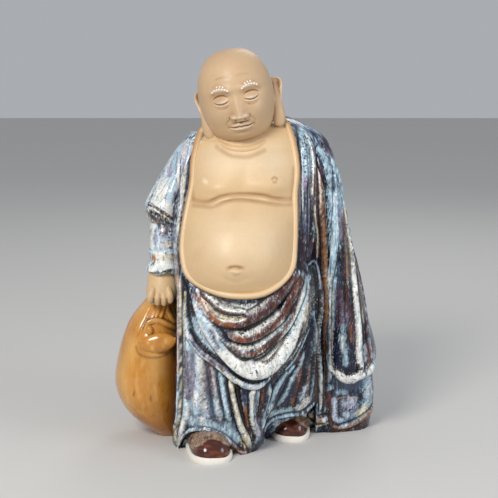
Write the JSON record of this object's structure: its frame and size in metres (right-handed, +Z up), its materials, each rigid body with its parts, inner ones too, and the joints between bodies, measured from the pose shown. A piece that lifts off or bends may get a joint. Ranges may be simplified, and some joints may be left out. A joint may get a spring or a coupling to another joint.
{
  "type": "robed monk figurine",
  "caption": "Standing glazed stoneware figurine of a stout, bald robed monk with a bare belly, holding a tied sack at their side, hollow and open underneath.",
  "frame": {"origin": "centre of the bounding box on the plane that the figurine stands on", "axes": "+Z up through the head, -Y the way the figure faces, +X towards its own left, the long hanging sleeve"},
  "size_m": [0.1618, 0.1146, 0.2383],
  "materials": {
    "glaze": "streaked white, ice blue, lilac, navy and brown glossy glaze over relief on the robe",
    "bare_clay": "unglazed fine tan clay, matt, darker in the creases",
    "sack_glaze": "glossy amber glaze with lighter streaks and brown spots",
    "shoe_glaze": "glossy dark brown glaze",
    "white_slip": "matt white slip on the soles and brow dots"
  },
  "bodies": {
    "root": {"figurine": "glaze"}
  },
  "joints": []
}
